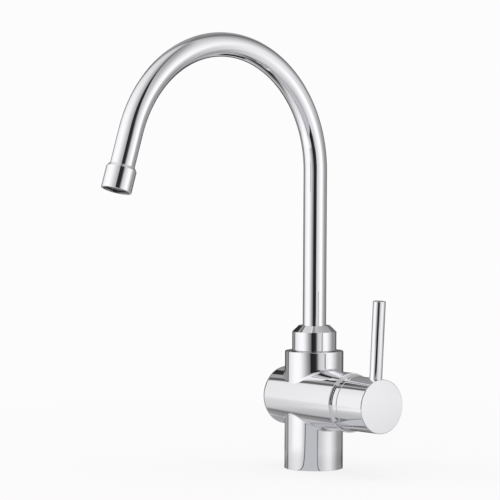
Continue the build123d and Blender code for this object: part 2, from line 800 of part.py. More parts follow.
# Lever: round rod with a threaded stud
with BuildPart() as handle_lever:
    with BuildSketch(lever_plane.offset(lever_seat)):
        Circle(lever_r)
    extrude(amount=lever_top - lever_seat)
    chamfer(handle_lever.faces().sort_by(Axis.Z)[-1].edges(), length=lever_end_chamfer)
    with BuildSketch(lever_plane.offset(lever_seat)):
        Circle(lever_stud_r)
    extrude(amount=-lever_stud_length)
    chamfer(handle_lever.faces().sort_by(Axis.Z)[0].edges(), length=lever_end_chamfer)
handle_lever.part.label = "handle_lever"
export_step(handle_lever.part, "parts/handle_lever.step")

# Grub screw that holds the cap on the stem, with a cone point and a hexagon socket
with BuildPart() as handle_grub_screw:
    with BuildSketch(lever_plane.offset(grub_start)):
        Circle(grub_point_r)
    with BuildSketch(lever_plane.offset(grub_start + grub_point_length)):
        Circle(lever_stud_r)
    loft()
    with BuildSketch(lever_plane.offset(grub_start + grub_point_length)):
        Circle(lever_stud_r)
    extrude(amount=grub_length - grub_point_length)
    with BuildSketch(lever_plane.offset(grub_start + grub_length)):
        RegularPolygon(grub_socket_width / 2, 6, major_radius=False)
    extrude(amount=-grub_socket_depth, mode=Mode.SUBTRACT)
handle_grub_screw.part.label = "handle_grub_screw"
export_step(handle_grub_screw.part, "parts/handle_grub_screw.step")
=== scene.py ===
# %% [markdown]
# # A chromed kitchen tap, dressed for its picture
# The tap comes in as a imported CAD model: every piece has its true size and place, in metres,
# with +Z up, the spout towards -Y and the handle's barrel towards +X. This lesson adds what
# CAD leaves out: polished chrome with clean highlights, the dull parts inside, a studio that
# gives shiny metal something to reflect, and a camera at the angle of the product picture.

# %% Load the tap's frame
import bpy
from math import cos, pi, radians, sin
from mathutils import Matrix, Vector

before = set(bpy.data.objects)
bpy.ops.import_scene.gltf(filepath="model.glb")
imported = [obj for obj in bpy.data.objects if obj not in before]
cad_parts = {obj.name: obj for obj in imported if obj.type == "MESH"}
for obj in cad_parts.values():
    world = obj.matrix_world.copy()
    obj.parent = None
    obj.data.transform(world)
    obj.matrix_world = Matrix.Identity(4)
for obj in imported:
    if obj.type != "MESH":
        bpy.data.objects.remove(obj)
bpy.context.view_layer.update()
print("pieces in the frame:", len(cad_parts))

# %% [markdown]
# The picture was taken from the front right, almost level with the tap, through a long lens.
# A long lens far away keeps the two ends of the barrel nearly the same size. The camera's
# place is given in metres, its aim by a bearing and a height angle, and its roll by one small
# angle more.

# %% Camera
camera_bearing = radians(-36.894)
camera_height_angle = radians(1.922)
camera_roll = radians(0.289)
camera_place = Vector((1.47007, -1.17282, 0.24935))
towards_camera = Vector((
    cos(camera_height_angle) * cos(camera_bearing),
    cos(camera_height_angle) * sin(camera_bearing),
    sin(camera_height_angle),
))
camera_right = Vector((-sin(camera_bearing), cos(camera_bearing), 0))
camera_up = towards_camera.cross(camera_right)
right = camera_right * cos(camera_roll) + camera_up * sin(camera_roll)
up = camera_up * cos(camera_roll) - camera_right * sin(camera_roll)
lens = bpy.data.cameras.new("long_lens")
lens.lens = 158.44
lens.sensor_width = 36
lens.clip_start = 0.05
camera = bpy.data.objects.new("camera", lens)
camera.matrix_world = Matrix((
    (right.x, up.x, towards_camera.x, camera_place.x),
    (right.y, up.y, towards_camera.y, camera_place.y),
    (right.z, up.z, towards_camera.z, camera_place.z),
    (0, 0, 0, 1),
))
bpy.context.scene.collection.objects.link(camera)
bpy.context.scene.camera = camera
bpy.context.scene.view_settings.view_transform = "Standard"
print("camera", round(camera_place.length, 3), "m away")

# %% [markdown]
# Node trees get long when every node is placed by hand. These helpers add one node each: any
# node with its options and inputs, the two kinds of maths, a smooth step, a noise, and the
# mixes of two numbers, two colours and two shaders.


# %% Helpers that add one shader node
def add_node(tree, kind, options=None, **inputs):
    """New node of this kind. An input may be a number, a colour or another node's socket."""
    node = tree.nodes.new(kind)
    for name, value in (options or {}).items():
        setattr(node, name, value)
    for name, value in inputs.items():
        socket = node.inputs[int(name[1:]) if name[0] == "_" else name.replace("_", " ")]
        if isinstance(value, bpy.types.NodeSocket):
            tree.links.new(value, socket)
        else:
            socket.default_value = value
    return node


def maths(tree, operation, a, b=0.0, c=0.0, clamp=False):
    """Output of a Math node. Few operations read c."""
    options = {"operation": operation, "use_clamp": clamp}
    return add_node(tree, "ShaderNodeMath", options, _0=a, _1=b, _2=c).outputs[0]


def vector_maths(tree, operation, a, b=(0.0, 0.0, 0.0), result="Vector"):
    """Output of a Vector Math node."""
    return add_node(tree, "ShaderNodeVectorMath", {"operation": operation}, _0=a, _1=b).outputs[result]


def ramp(tree, value, low, high, at_low=0.0, at_high=1.0):
    """Smooth step from at_low to at_high while value goes from low to high."""
    return add_node(tree, "ShaderNodeMapRange", {"interpolation_type": "SMOOTHSTEP"}, Value=value,
                    From_Min=low, From_Max=high, To_Min=at_low, To_Max=at_high).outputs["Result"]


def object_place(tree):
    """Place on the object, in metres."""
    return add_node(tree, "ShaderNodeTexCoord").outputs["Object"]


def noise(tree, where, scale, detail, distortion=0.0):
    """Soft random pattern between 0 and 1."""
    return add_node(tree, "ShaderNodeTexNoise", Vector=where, Scale=scale, Detail=detail,
                    Distortion=distortion).outputs[0]


def two_numbers(tree, share, first, second):
    """Number that goes from first to second with the share."""
    return add_node(tree, "ShaderNodeMix", {"data_type": "FLOAT"}, _0=share, _2=first, _3=second).outputs[0]


def two_colours(tree, mask, first, second):
    """Colour that goes from first to second with the mask."""
    return add_node(tree, "ShaderNodeMix", {"data_type": "RGBA"}, _0=mask, _6=first, _7=second).outputs[2]


def two_shaders(tree, share, first, second):
    """Shader that goes from first to second with the share."""
    return add_node(tree, "ShaderNodeMixShader", _0=share, _1=first.outputs[0], _2=second.outputs[0])


# %% [markdown]
# The background of a product picture is a plain near-white. The world shows that white to the
# camera and to mirror-like reflections. For ordinary light it is a soft, even sky.

# %% World
backdrop_colour = (0.985, 0.972, 0.982, 1)
sky_strength = 0.62
world = bpy.data.worlds.new("studio")
bpy.context.scene.world = world
world.use_nodes = True
tree = world.node_tree
tree.nodes.clear()
light_path = add_node(tree, "ShaderNodeLightPath").outputs
seen = maths(tree, "MAXIMUM", light_path["Is Camera Ray"], light_path["Is Glossy Ray"])
seen = maths(tree, "MAXIMUM", seen, light_path["Is Transmission Ray"])
sky = add_node(tree, "ShaderNodeBackground", Color=(1, 1, 1, 1), Strength=sky_strength)
backdrop = add_node(tree, "ShaderNodeBackground", Color=backdrop_colour, Strength=1.0)
pick = two_shaders(tree, seen, sky, backdrop)
add_node(tree, "ShaderNodeOutputWorld", Surface=pick.outputs[0])
print("world: backdrop 1.0, sky", sky_strength)

# %% [markdown]
# Three large lamps, left, right and above, give soft light at a plain level, so that a colour
# renders about as it is written. Chrome would show them as hard rectangles, so reflections
# skip them: the light tent of the next cells is what the chrome sees.

# %% Lamps
tap_middle = Vector((0, -0.05, 0.15))


def soft_lamp(name, place, size, watts):
    """Square lamp at place, facing the middle of the tap."""
    light = bpy.data.lights.new(name, "AREA")
    light.size = size
    light.energy = watts
    lamp = bpy.data.objects.new(name, light)
    lamp.location = place
    lamp.rotation_euler = (tap_middle - Vector(place)).to_track_quat("-Z", "Y").to_euler()
    lamp.visible_glossy = False
    bpy.context.scene.collection.objects.link(lamp)


soft_lamp("left_lamp", (-0.75, -1.15, 0.75), 1.0, 5.0)
soft_lamp("right_lamp", (0.95, 0.95, 0.75), 1.0, 4.0)
soft_lamp("top_lamp", (0.1, -0.1, 1.6), 1.2, 6.5)

# %% [markdown]
# The tent, a dark strip and the floor are studio things: meshes that are no part of the tap.
# These helpers make such a mesh, hide it from all but mirror-like rays, and start its material
# with no nodes in it.


# %% Helpers for studio things
def studio_thing(name, points, faces):
    """Mesh object for the studio, which is no part of the tap."""
    mesh = bpy.data.meshes.new(name)
    mesh.from_pydata(points, [], faces)
    thing = bpy.data.objects.new(name, mesh)
    bpy.context.scene.collection.objects.link(thing)
    return thing


def only_in_reflections(thing):
    """Hide the thing from all rays but mirror-like ones."""
    thing.visible_camera = False
    thing.visible_diffuse = False
    thing.visible_transmission = False
    thing.visible_volume_scatter = False
    thing.visible_shadow = False


def empty_material(name, thing):
    """New material on the thing, and its node tree with no nodes in it."""
    material = bpy.data.materials.new(name)
    material.use_nodes = True
    material.node_tree.nodes.clear()
    thing.data.materials.append(material)
    return material.node_tree


# %% [markdown]
# Polished metal is photographed in a tent of pale cloth. Two lamps light its left and right
# walls, the camera looks in through a dark slit, and the far wall stays in shade. The slit
# gives each tube its black line, and the walls give it the bright bands beside that line. Real
# lamps and cards could do this too, but a painted dome sets each reflection by itself. Its own
# X axis points at the camera, so the bearing round it is 0 at the slit, negative on the left,
# positive on the right and 180 behind the tap.

# %% Light tent: the dome
tent_radius = 0.8
tent_lowest = radians(-6)
tent_rows, tent_columns = 24, 96
tent_points = []
for row in range(tent_rows + 1):
    height_angle = tent_lowest + (pi / 2 - tent_lowest) * row / tent_rows
    for column in range(tent_columns):
        turn = 2 * pi * column / tent_columns
        tent_points.append((tent_radius * cos(height_angle) * cos(turn),
                            tent_radius * cos(height_angle) * sin(turn),
                            tent_radius * sin(height_angle)))
tent_faces = []
for row in range(tent_rows):
    for column in range(tent_columns):
        after = (column + 1) % tent_columns
        tent_faces.append((row * tent_columns + column, row * tent_columns + after,
                           (row + 1) * tent_columns + after, (row + 1) * tent_columns + column))
light_tent = studio_thing("light_tent", tent_points, tent_faces)
light_tent.rotation_euler.z = camera_bearing
only_in_reflections(light_tent)
print("tent:", len(tent_faces), "faces")

# %% [markdown]
# Light on the tent and the floor is painted with slopes and bands over bearing, height and
# distance. A slope is a pair (from, to), or (from, to, level at from, level at to). These
# helpers multiply, add up, turn a part into what it leaves, and lay a band between two slopes.


# %% Helpers that paint light and shade
def times(tree, first, *others):
    """Product of numbers and sockets."""
    for other in others:
        first = maths(tree, "MULTIPLY", first, other)
    return first


def plus(tree, first, *others):
    """Sum of numbers and sockets."""
    for other in others:
        first = maths(tree, "ADD", first, other)
    return first


def without(tree, part):
    """What is left of 1 without this part."""
    return maths(tree, "SUBTRACT", 1.0, part)


def band(tree, value, rise, fall, level=1.0):
    """Up to level along the slope rise, and back to 0 along the slope fall."""
    return times(tree, ramp(tree, value, *rise), ramp(tree, value, *fall, level, 0.0))


# %% [markdown]
# What a point of the cloth shows depends on its bearing round the tent and on its height above
# the table. Both are angles in degrees, worked out from the point's place on the dome. A
# picture could be wrapped round the dome too, but numbers keep every wall and card easy to move.

# %% Light tent: bearing and height on its cloth
tree = empty_material("tent_cloth", light_tent)
way = add_node(tree, "ShaderNodeSeparateXYZ", Vector=vector_maths(tree, "NORMALIZE", object_place(tree)))
ahead, across, upward = way.outputs["X"], way.outputs["Y"], way.outputs["Z"]
bearing = maths(tree, "DEGREES", maths(tree, "ARCTAN2", across, ahead))
behind = maths(tree, "ABSOLUTE", bearing)
height = maths(tree, "DEGREES", maths(tree, "ARCSINE", upward))
print("bearing and height:", len(tree.nodes), "nodes")

# %% [markdown]
# Cloth is never evenly lit. The far wall is a dim grey, a little lighter higher up. On the left
# wall the lamp's light starts at an edge behind the tap, grows towards the front, and falls
# into shade beside the slit. These are the bright left halves of the tubes and the column.

# %% Light tent: the far wall and the left wall
far_by_bearing = (118, 178, 0.36, 0.24)
far_by_height = (12, 75, 0.0, 0.26)
far_wall = plus(tree, ramp(tree, behind, *far_by_bearing), ramp(tree, height, *far_by_height))
left_light, far_light = 0.77, 0.95
light_edge, light_spread = (-121, -117), (-119, -76, 0.68, 1.0)
left_glow = times(tree, ramp(tree, bearing, *light_edge), ramp(tree, bearing, *light_spread), left_light)
left_wall = plus(tree, left_glow, times(tree, far_wall, far_light))
shade_by_bearing, shade_by_height = (-65, -10), (10, 35, 0.88, 0.62)
slit_shade = times(tree, ramp(tree, bearing, *shade_by_bearing), ramp(tree, height, *shade_by_height))
left_wall = times(tree, left_wall, without(tree, slit_shade))
print("far and left walls:", len(tree.nodes), "nodes so far")

# %% [markdown]
# The right wall is brightest some sixty degrees round from the slit and fades from there to the
# grey of the far wall, faster near the table than overhead. One darker band hangs where it
# meets the far wall, and the tubes and the column mirror it close to their right edge. All
# walls fade towards the top.

# %% Light tent: the right wall, and the walls together
right_light = (15, 62, 0.70, 1.17)
low_fade, high_fade = (58, 112, 1.0, 0.27), (60, 142, 1.0, 0.34)
low_to_high, right_to_far = (20, 40), (112, 150)
fade = two_numbers(tree, ramp(tree, height, *low_to_high),
                   ramp(tree, bearing, *low_fade), ramp(tree, bearing, *high_fade))
right_wall = times(tree, ramp(tree, bearing, *right_light), fade)
right_wall = two_numbers(tree, ramp(tree, bearing, *right_to_far), right_wall, far_wall)
dim_band = band(tree, bearing, (131, 140), (156, 164), level=0.6)
foot_shade = (0.02, 0.16, 0.93, 1.0)
right_wall = times(tree, right_wall, without(tree, dim_band), ramp(tree, upward, *foot_shade))
walls = two_numbers(tree, maths(tree, "GREATER_THAN", bearing, 0.0), left_wall, right_wall)
fade_overhead = (22, 92, 1.0, 0.48)
walls = times(tree, walls, ramp(tree, height, *fade_overhead))
print("all walls:", len(tree.nodes), "nodes so far")

# %% [markdown]
# The slit is where the lens looks in, and the black line down each tube is its reflection. Its
# edges are set by across, the sideways part of a direction. The left edge grows with ahead, so
# it keeps its bearing until high overhead, and it is crisp. The right edge reaches furthest
# round near the table and draws in overhead. It is crisp a little above the table and again
# overhead, and soft in between and right at the table, as the bands on the real chrome are.

# %% Light tent: the slit
left_edge_lean, left_edge_least = 0.306, 0.11
left_edge = times(tree, -1.0, maths(tree, "MAXIMUM", times(tree, ahead, left_edge_lean), left_edge_least))
past_left = ramp(tree, maths(tree, "SUBTRACT", across, left_edge), -0.01, 0.025)
right_edge_low, right_edge_high = (0.4, 0.8, -0.06, 0.10), (0.85, 0.95, 0.0, 0.12)
right_edge = plus(tree, ramp(tree, ahead, *right_edge_low), ramp(tree, ahead, *right_edge_high))
past_right = maths(tree, "SUBTRACT", across, right_edge)
crisp_heights, crisp_overhead = ((0.09, 0.105), (0.36, 0.46)), (0.55, 0.75)
crisp = plus(tree, band(tree, upward, *crisp_heights), ramp(tree, upward, *crisp_overhead))
crisp_edge = ramp(tree, past_right, 0.0, 0.025, 1.0, 0.0)
low_shift = ramp(tree, upward, 0.11, 0.15, 0.11, 0.0)
soft_edge = ramp(tree, plus(tree, past_right, low_shift), -0.03, 0.24, 1.0, 0.0)
before_right = two_numbers(tree, crisp, soft_edge, crisp_edge)
faint_overhead = ramp(tree, height, 62, 82, 1.0, 0.35)
slit = times(tree, past_left, before_right, ramp(tree, ahead, -0.3, -0.2), faint_overhead)
print("slit:", len(tree.nodes), "nodes so far")

# %% [markdown]
# Black flags are hung in a tent to draw the dark edges of a shiny thing. One stands low behind
# the tap and fades upwards. One is narrow and leans, so its bearing grows with its height. A
# short one stands beside it at the foot of the tent, and a thin seam closes the lit left wall.
# Together they draw the dark lines close to the edges of the chrome, most of them on the left.

# %% Light tent: flags, and the cloth's brightness
back_flag = times(tree, ramp(tree, behind, 150, 162), ramp(tree, height, 4, 24, 0.8, 0.0))
flag_lean = 0.75
leaning = maths(tree, "SUBTRACT", bearing, times(tree, height, flag_lean))
leaning_flag = times(tree, band(tree, leaning, (-188, -186), (-171, -169)),
                     band(tree, height, (6, 10), (46, 54)))
low_flag = times(tree, band(tree, bearing, (-178, -172), (-149, -145), level=0.75),
                 ramp(tree, height, 6, 18, 1.0, 0.0))
seam = band(tree, bearing, (-128, -126), (-121, -119), level=0.75)
flags = maths(tree, "MAXIMUM", maths(tree, "MAXIMUM", leaning_flag, low_flag), seam)
slit_depth, flag_depth, stray_light = 0.98, 0.95, 0.018
cloth = times(tree, walls, without(tree, times(tree, slit, slit_depth)), without(tree, back_flag),
              without(tree, times(tree, flags, flag_depth)))
glow = add_node(tree, "ShaderNodeEmission", Color=(1, 0.998, 1, 1), Strength=plus(tree, cloth, stray_light))
add_node(tree, "ShaderNodeOutputMaterial", Surface=glow.outputs[0])
print("tent cloth:", len(tree.nodes), "nodes")

# %% [markdown]
# A black strip lies on the table behind the tap. Only the underside of the arch should mirror
# it, as the thin black line along its inner edge. The arch sees it from high above. The
# barrel's closed end would see it at a low angle, so the strip is clear at low angles, which
# Layer Weight tells apart.

# %% Black strip
strip_height = 0.001
strip_front = ((-0.105, 0.115), (-0.180, 0.115), (-0.255, 0.145))
strip_rear = ((-0.115, 0.240), (-0.185, 0.300), (-0.290, 0.290))
strip_points = [(x, y, strip_height) for x, y in strip_front + strip_rear]
strip_count = len(strip_front)
strip_faces = [(k, k + 1, strip_count + k + 1, strip_count + k) for k in range(strip_count - 1)]
strip = studio_thing("strip_behind", strip_points, strip_faces)
only_in_reflections(strip)
tree = empty_material("strip_behind", strip)
black = add_node(tree, "ShaderNodeEmission", Color=(1, 1, 1, 1), Strength=0.0)
clear = add_node(tree, "ShaderNodeBsdfTransparent")
slant = add_node(tree, "ShaderNodeLayerWeight", Blend=0.5).outputs["Facing"]
black_to_clear = (0.5, 0.65)
black_from_above = two_shaders(tree, ramp(tree, slant, *black_to_clear), black, clear)
add_node(tree, "ShaderNodeOutputMaterial", Surface=black_from_above.outputs[0])
print("strip:", len(strip_faces), "faces")

# %% [markdown]
# The table is a pale floor. The camera sees it almost as white as the backdrop, with a faint
# shadow of the tap, and its rim fades into the backdrop, so no horizon shows. In the chrome it
# is something else: a glossy grey board that mirrors the tent. Light Path tells the two apart,
# so one floor does both, where a second floor would hide the first.

# %% Floor
ring_radii = (0.1, 0.3, 0.8, 2.0, 4.0)
spokes = 64
floor_points = [(0, 0, 0)]
for radius in ring_radii:
    for k in range(spokes):
        floor_points.append((radius * cos(2 * pi * k / spokes), radius * sin(2 * pi * k / spokes), 0))
floor_faces = [(0, 1 + k, 1 + (k + 1) % spokes) for k in range(spokes)]
for ring in range(len(ring_radii) - 1):
    inner, outer = 1 + spokes * ring, 1 + spokes * (ring + 1)
    for k in range(spokes):
        after = (k + 1) % spokes
        floor_faces.append((inner + k, outer + k, outer + after, inner + after))
floor = studio_thing("floor", floor_points, floor_faces)
floor.rotation_euler.z = camera_bearing
print("floor faces:", len(floor_faces))

# %% [markdown]
# For ordinary light the floor is plain matt paper, which lights the tap from below. The camera
# sees it mixed with the backdrop's own white: four fifths of white close to the tap, where the
# paper in the mix still shows the tap's shadow, and all white from 0.7 m outwards. Paper alone
# would turn grey towards its rim, where the lamps reach it less.

# %% Floor: what the camera sees
tree = empty_material("table_top", floor)
place = object_place(tree)
xyz = add_node(tree, "ShaderNodeSeparateXYZ", Vector=place).outputs
bearing = maths(tree, "DEGREES", maths(tree, "ARCTAN2", xyz["Y"], xyz["X"]))
behind = maths(tree, "ABSOLUTE", bearing)
distance = vector_maths(tree, "LENGTH", place, result="Value")
light_path = add_node(tree, "ShaderNodeLightPath").outputs
seen = maths(tree, "MAXIMUM", light_path["Is Camera Ray"], light_path["Is Transmission Ray"])
paper = add_node(tree, "ShaderNodeBsdfDiffuse", Color=(0.92, 0.92, 0.92, 1))
white = add_node(tree, "ShaderNodeEmission", Color=backdrop_colour, Strength=1.0)
white_by_distance = (0.1, 0.7, 0.80, 1.0)
camera_side = two_shaders(tree, times(tree, ramp(tree, distance, *white_by_distance), seen), paper, white)
print("camera side:", len(tree.nodes), "nodes")

# %% [markdown]
# The board in the reflections has its own brightness, by distance from the tap in metres and by
# the tent's bearings. It is dark close to the foot, where a real tap shades it. Further out it
# grows lighter in front and darker behind. A patch close behind the tap on the left, a stretch
# on the left and a glow further back are lighter, and a stretch on the right is darker. Behind
# the tap, rays that fall steeply find it almost black, as in the shade under a barrel.

# %% Floor: the board's brightness
slant = add_node(tree, "ShaderNodeLayerWeight", Blend=0.5).outputs["Facing"]
board_by_distance = (0.07, 0.17, 0.24, 0.55)
outer_by_distance, outer_by_bearing = (0.3, 0.8, 0.0, 0.45), (95, 160, 1.0, -1.1)
outer_board = times(tree, ramp(tree, distance, *outer_by_distance), ramp(tree, behind, *outer_by_bearing))
near_patch = times(tree, band(tree, bearing, (-175, -150), (-130, -122)),
                   ramp(tree, distance, 0.11, 0.15, 0.45, 0.0))
left_board = times(tree, band(tree, bearing, (-100, -80), (-50, -38)),
                   ramp(tree, distance, 0.12, 0.2, 0.0, 0.5), ramp(tree, slant, 0.1, 0.4))
back_glow = times(tree, ramp(tree, behind, 135, 155),
                  band(tree, distance, (0.2, 0.34), (0.45, 0.8), level=0.45))
right_shade = band(tree, bearing, (85, 125), (140, 160), level=0.22)
# Painted shade: behind the tap the board goes almost black for rays that fall steeply.
steep_shade = times(tree, ramp(tree, behind, 86, 104), ramp(tree, slant, 0.05, 0.28, 0.97, 0.0))
lit = without(tree, steep_shade)
board = plus(tree, ramp(tree, distance, *board_by_distance), outer_board, near_patch, left_board, back_glow)
board = times(tree, maths(tree, "SUBTRACT", board, right_shade), lit)
print("board:", len(tree.nodes), "nodes so far")

# %% [markdown]
# Between the tap and the slit lies a matt sheet of bluish card with dark edges. Without it the
# column's foot would mirror the slit's black line. With it the foot shows a grey band between
# two dark lines. Beyond the sheet the board is as black as the slit.

# %% Floor: the sheet before the lens, and the mirror side
sheet_end = 0.53
before_lens = times(tree, band(tree, bearing, (-22, -18), (11, 14)), ramp(tree, distance, sheet_end, 0.56))
board = times(tree, board, without(tree, before_lens))
sheet = times(tree, band(tree, bearing, (-37, -36), (12, 13)),
              ramp(tree, distance, 0.52, sheet_end, 1.0, 0.0))
inner_sheet = band(tree, bearing, (-34, -32), (9, 11))
edge_grey, sheet_grey = 0.16, 0.60
board = two_numbers(tree, sheet, board, ramp(tree, inner_sheet, 0.0, 1.0, edge_grey, sheet_grey))
board_tint, sheet_tint = (0.985, 0.99, 1, 1), (0.94, 0.97, 1, 1)
tint = two_colours(tree, sheet, board_tint, sheet_tint)
lit_board = add_node(tree, "ShaderNodeEmission", Color=tint, Strength=board)
polish = add_node(tree, "ShaderNodeBsdfGlossy", Color=(1, 1, 1, 1), Roughness=0.1)
gleam_rise, gleam_least = 0.64, 0.42
fresnel = add_node(tree, "ShaderNodeFresnel", IOR=1.45).outputs[0]
gleam = maths(tree, "MULTIPLY_ADD", fresnel, gleam_rise, gleam_least)
gleam = times(tree, gleam, lit, without(tree, sheet))
mirror_side = two_shaders(tree, gleam, lit_board, polish)
both_sides = two_shaders(tree, light_path["Is Glossy Ray"], camera_side, mirror_side)
add_node(tree, "ShaderNodeOutputMaterial", Surface=both_sides.outputs[0])
print("floor finish:", len(tree.nodes), "nodes")

# %% [markdown]
# Several finishes share the same small effects, so each effect is a shader node group: it is
# built once, and every material sets its own numbers on it. These helpers start a group with
# named inputs and outputs, and place it in a material.


# %% Helpers for node groups
def start_group(name, inputs, outputs):
    """New group. inputs: name -> number or vector. outputs: name -> socket type."""
    group = bpy.data.node_groups.new(name, "ShaderNodeTree")
    for title, value in inputs.items():
        kind = "NodeSocketVector" if isinstance(value, tuple) else "NodeSocketFloat"
        socket = group.interface.new_socket(title, in_out="INPUT", socket_type=kind)
        socket.default_value = value
    for title, kind in outputs.items():
        group.interface.new_socket(title, in_out="OUTPUT", socket_type=kind)
    return group, group.nodes.new("NodeGroupInput").outputs, group.nodes.new("NodeGroupOutput").inputs


def place_group(tree, group, **values):
    """Put the group into a material and set its numbers. Returns its outputs."""
    return add_node(tree, "ShaderNodeGroup", {"node_tree": group}, **values).outputs


# %% [markdown]
# No real edge is perfectly sharp. Filing, polishing and plating leave a round of a few tenths
# of a millimetre, and that round catches a thin line of light. The Bevel node bends the normal
# near an edge as such a round would. How far it bends the normal also says where the edge is,
# so one group gives both the softened normal and a mask of the rubbed edge.

# %% Group: rubbed edges
edge_rub, given, result = start_group(
    "edge_rub", {"Radius": 0.0003, "Gain": 3.0},
    {"Normal": "NodeSocketVector", "Mask": "NodeSocketFloat"})
bent = add_node(edge_rub, "ShaderNodeBevel", {"samples": 6}, Radius=given["Radius"]).outputs[0]
straight = add_node(edge_rub, "ShaderNodeNewGeometry").outputs["Normal"]
turned = without(edge_rub, vector_maths(edge_rub, "DOT_PRODUCT", bent, straight, result="Value"))
edge_rub.links.new(bent, result["Normal"])
edge_rub.links.new(maths(edge_rub, "MULTIPLY", turned, given["Gain"], clamp=True), result["Mask"])
print("group:", edge_rub.name)

# %% [markdown]
# A wiped surface carries hairlines: fine, long, shallow scratches in a few directions. Noise
# that is stretched many times along one direction makes such lines. Two layers at an angle
# to each other cross, and a broad noise lets them come and go.

# %% Group: hairlines
hairlines, given, result = start_group(
    "hairlines", {"Size": 0.0005, "Stretch": 60.0, "Share": 0.3, "Turn": (0.3, 0.2, 0.0)},
    {"Mask": "NodeSocketFloat"})
where = object_place(hairlines)
scale = maths(hairlines, "DIVIDE", 1.0, given["Size"])
layers = []
for lean in (0.0, 1.1):
    lean_by = vector_maths(hairlines, "ADD", given["Turn"], (lean, lean, 0.4 * lean))
    leant = add_node(hairlines, "ShaderNodeMapping", Vector=where, Rotation=lean_by).outputs[0]
    shrink = maths(hairlines, "DIVIDE", 1.0, given["Stretch"])
    squeeze = add_node(hairlines, "ShaderNodeCombineXYZ", X=1.0, Y=1.0, Z=shrink).outputs[0]
    streak = noise(hairlines, vector_maths(hairlines, "MULTIPLY", leant, squeeze), scale, 2.0)
    layers.append(ramp(hairlines, streak, 0.66, 0.74))
come_and_go = ramp(hairlines, noise(hairlines, where, 90.0, 1.0), 0.42, 0.62)
shown = times(hairlines, maths(hairlines, "MAXIMUM", *layers), come_and_go, given["Share"])
hairlines.links.new(shown, result["Mask"])
print("group:", hairlines.name)

# %% [markdown]
# Clouding is the faint unevenness of a polish: a trace of dried water, a wiped thumb print, a
# spot where the buffing wheel pressed less. Two noises of different size, one of them warped,
# give soft patches. The group turns them into a roughness between two limits.

# %% Group: clouding
clouding, given, result = start_group(
    "clouding", {"Size": 0.03, "Low": 0.03, "High": 0.08},
    {"Roughness": "NodeSocketFloat", "Mask": "NodeSocketFloat"})
where = object_place(clouding)
per_metre = maths(clouding, "DIVIDE", 1.0, given["Size"])
patch = noise(clouding, where, per_metre, 3.0, distortion=0.8)
speck = noise(clouding, where, times(clouding, per_metre, 7.0), 2.0)
mixed = plus(clouding, times(clouding, patch, 0.75), times(clouding, speck, 0.25))
patches = ramp(clouding, mixed, 0.38, 0.66)
span = maths(clouding, "SUBTRACT", given["High"], given["Low"])
clouding.links.new(plus(clouding, given["Low"], times(clouding, patches, span)), result["Roughness"])
clouding.links.new(patches, result["Mask"])
print("group:", clouding.name)

# %% [markdown]
# Hard water leaves lime: pale, dull spots and rings where drops dried. Voronoi cells give round
# spots of different size, and a noise keeps them to a few places. It is used sparingly on the
# chrome, and more at the mouth of the spout, where the water leaves the tap.

# %% Group: lime spots
lime_spots, given, result = start_group(
    "lime_spots", {"Size": 0.004, "Share": 0.3}, {"Mask": "NodeSocketFloat"})
where = object_place(lime_spots)
per_metre = maths(lime_spots, "DIVIDE", 1.0, given["Size"])
drops = add_node(lime_spots, "ShaderNodeTexVoronoi", Vector=where, Scale=per_metre).outputs
rim = band(lime_spots, drops["Distance"], (0.16, 0.30), (0.30, 0.38))
few = add_node(lime_spots, "ShaderNodeSeparateColor", Color=drops["Color"]).outputs[0]
chosen = ramp(lime_spots, few, 0.72, 0.80)
places = ramp(lime_spots, noise(lime_spots, where, 45.0, 2.0), 0.45, 0.6)
lime_spots.links.new(times(lime_spots, rim, chosen, places, given["Share"]), result["Mask"])
print("group:", lime_spots.name)

# %% [markdown]
# A turned piece keeps the fine rings that the lathe's tool left. Sines of the distance along the
# axis and of the distance from it give rings on the sides and on the ends, and a little noise
# makes them uneven. Axis and Centre say where the piece was turned.

# %% Group: turning rings
turning_rings, given, result = start_group(
    "turning_rings", {"Spacing": 0.0002, "Axis": (0.0, 0.0, 1.0), "Centre": (0.0, 0.0, 0.0)},
    {"Height": "NodeSocketFloat"})
where = object_place(turning_rings)
away = vector_maths(turning_rings, "SUBTRACT", where, given["Centre"])
along = vector_maths(turning_rings, "DOT_PRODUCT", away, given["Axis"], result="Value")
off_axis = vector_maths(turning_rings, "CROSS_PRODUCT", away, given["Axis"])
radius = vector_maths(turning_rings, "LENGTH", off_axis, result="Value")
wobble = times(turning_rings, noise(turning_rings, where, 300.0, 1.0), 0.0004)
turns = maths(turning_rings, "DIVIDE", plus(turning_rings, along, radius, wobble), given["Spacing"])
ridge = maths(turning_rings, "SINE", times(turning_rings, turns, 2 * pi))
turning_rings.links.new(maths(turning_rings, "MULTIPLY_ADD", ridge, 0.5, 0.5), result["Height"])
print("group:", turning_rings.name)

# %% [markdown]
# Moulded plastic and rubber copy the fine spark texture of their mould. A fine noise over a
# coarser one gives the grain, as a height for the bump and as a mask for small colour changes.

# %% Group: moulded grain
moulded_grain, given, result = start_group(
    "moulded_grain", {"Size": 0.0004}, {"Height": "NodeSocketFloat", "Mask": "NodeSocketFloat"})
where = object_place(moulded_grain)
per_metre = maths(moulded_grain, "DIVIDE", 1.0, given["Size"])
fine = noise(moulded_grain, where, per_metre, 3.0)
coarse = noise(moulded_grain, where, times(moulded_grain, per_metre, 0.12), 2.0)
grain_height = plus(moulded_grain, times(moulded_grain, fine, 0.7), times(moulded_grain, coarse, 0.3))
moulded_grain.links.new(grain_height, result["Height"])
moulded_grain.links.new(ramp(moulded_grain, coarse, 0.35, 0.65), result["Mask"])
print("group:", moulded_grain.name)

# %% [markdown]
# Every finish starts from a Principled shader with its plain numbers, bends its normal with
# bumps that are a few hundredths of a millimetre deep at most, and ends by linking colour,
# roughness and normal.


